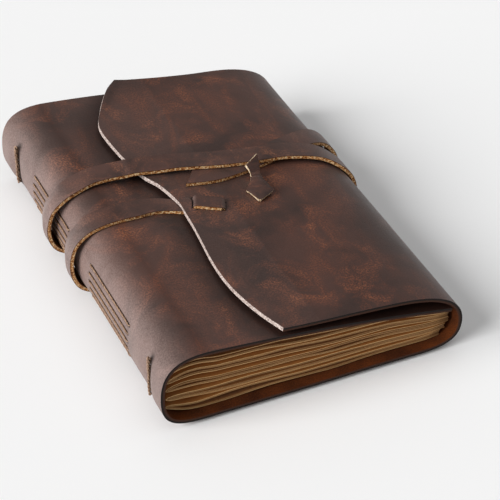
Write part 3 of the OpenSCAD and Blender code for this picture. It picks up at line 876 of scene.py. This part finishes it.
# a cross stitch: the thread goes over the links between the signatures and comes back round itself
def crossStitch(y, rising):
    made = []
    low, high = foldZ(0) - 1.6, foldZ(book["signatures"] - 1) + 1.6
    count = sewing["crossSteps"]
    for turn in (0, 1):
        for i in range(count + 1):
            share = i / count if (turn == 0) == rising else 1 - i / count
            angle = 2 * math.pi * share * (high - low) / sewing["crossPitch"] + math.pi * turn
            centre = wrap(spineWalk(low + (high - low) * share), y, sewing["radius"] * 1.95)
            out = onWalk(spineWalk(low + (high - low) * share))[1]
            made.append(centre + (Vector((0, 1, 0)) * math.sin(angle) + Vector((out.x, 0, out.y)) * math.cos(angle))
                        * sewing["radius"] * 1.1)
    return made


threadRoute = crossStitch(cover["stations"][0], True)
for k in range(book["signatures"]):
    order = cover["stations"] if k % 2 == 0 else cover["stations"][::-1]
    threadRoute += [outsideAt(k, order[0]), insideAt(k, order[0]), insideAt(k, order[1])]
    threadRoute += longStitch(k, order[1], order[2]) + [insideAt(k, order[2]), insideAt(k, order[3])]
    threadRoute += longStitch(k, order[3], order[4]) + [insideAt(k, order[4]), insideAt(k, order[5])]
    threadRoute.append(outsideAt(k, order[5]))
threadRoute += crossStitch(cover["stations"][5], False)


def roundedRoute(points, radius):
    made = [points[0]]
    for a, b, c in zip(points, points[1:], points[2:]):
        u = b + (a - b).normalized() * min(radius, (a - b).length * 0.45)
        v = b + (c - b).normalized() * min(radius, (c - b).length * 0.45)
        made += [u, u.lerp(b, 0.5).lerp(b.lerp(v, 0.5), 0.5), v]
    return made + [points[-1]]


def spaced(points, gap):
    made = [points[0]]
    for a, b in zip(points, points[1:]):
        count = max(1, round((b - a).length / gap))
        made += [a.lerp(b, i / count) for i in range(1, count + 1)]
    return made


strand = spaced(roundedRoute(threadRoute, sewing["corner"]), sewing["spacing"])
strandFrames = []
normal = Vector((0.3, 0.4, 1)).normalized()
gone = 0.0
for i, point in enumerate(strand):
    way = (strand[min(i + 1, len(strand) - 1)] - strand[max(i - 1, 0)]).normalized()
    normal = (normal - way * normal.dot(way)).normalized()
    gone += (point - strand[i - 1]).length if i else 0.0
    strandFrames.append((point, normal.copy(), way.cross(normal), gone))


def strandShape(angle, i):
    point, normal, other, gone = strandFrames[round(i)]
    turned = sewing["lobes"] * angle - 2 * math.pi * gone / sewing["twist"]
    radius = sewing["radius"] * (1 - sewing["lobeDepth"] * (0.5 - 0.5 * math.cos(turned)))
    return point + (normal * math.cos(angle) + other * math.sin(angle)) * radius


threadBm = flatSheet(sewing["sides"], len(strand) - 1, lambda u, v: (u * 2 * math.pi, v * (len(strand) - 1)))
# painted shade: darkest in the furrows between the plies
furrowShade = threadBm.verts.layers.float.new("furrowShade")
for vert in threadBm.verts:
    turned = sewing["lobes"] * vert.co.x - 2 * math.pi * strandFrames[round(vert.co.y)][3] / sewing["twist"]
    vert[furrowShade] = max(0.0, -math.cos(turned)) ** 2 * 0.85
shapeSheet(threadBm, strandShape)
bmesh.ops.remove_doubles(threadBm, verts=threadBm.verts, dist=1e-6)
bmesh.ops.holes_fill(threadBm, edges=[e for e in threadBm.edges if e.is_boundary], sides=0)
bmesh.ops.recalc_face_normals(threadBm, faces=threadBm.faces)
threadMesh = bpy.data.meshes.new("sewingThread")
threadBm.to_mesh(threadMesh)
threadBm.free()
threadMesh.materials.append(thread)
threadPiece = addObject("sewingThread", threadMesh)
mountPiece(threadPiece, "waxed_thread", "sewing_thread")
print("spine sewn")


# ---- floor and world

floorBm = bmesh.new()
bmesh.ops.create_grid(floorBm, x_segments=1, y_segments=1, size=studio["floorSize"] / 2)
floorMesh = bpy.data.meshes.new("floor")
floorBm.to_mesh(floorMesh)
floorBm.free()
floorMaterial = newMaterial("paintedBoard")   # matt white board under the book
floorTree = floorMaterial.node_tree
floorShade = node(floorTree, "ShaderNodeBsdfDiffuse", {"Color": linear(studio["floorColour"])})
node(floorTree, "ShaderNodeOutputMaterial", {"Surface": floorShade.outputs["BSDF"]})
floorMesh.materials.append(floorMaterial)
floor = addObject("floor", floorMesh)

world = bpy.data.worlds.new("studio")
bpy.context.scene.world = world
world.use_nodes = True
worldTree = world.node_tree
worldTree.nodes.clear()
rays = node(worldTree, "ShaderNodeLightPath").outputs
seen = calculate(worldTree, "MAXIMUM", rays["Is Camera Ray"], rays["Is Transmission Ray"])
seenPart = calculate(worldTree, "MULTIPLY", seen, 1 - studio["worldStrength"])
strength = calculate(worldTree, "ADD", seenPart, studio["worldStrength"])
backdrop = node(worldTree, "ShaderNodeBackground", {"Color": linear(studio["worldColour"]), "Strength": strength})
node(worldTree, "ShaderNodeOutputWorld", {"Surface": backdrop.outputs["Background"]})
print("stage set")
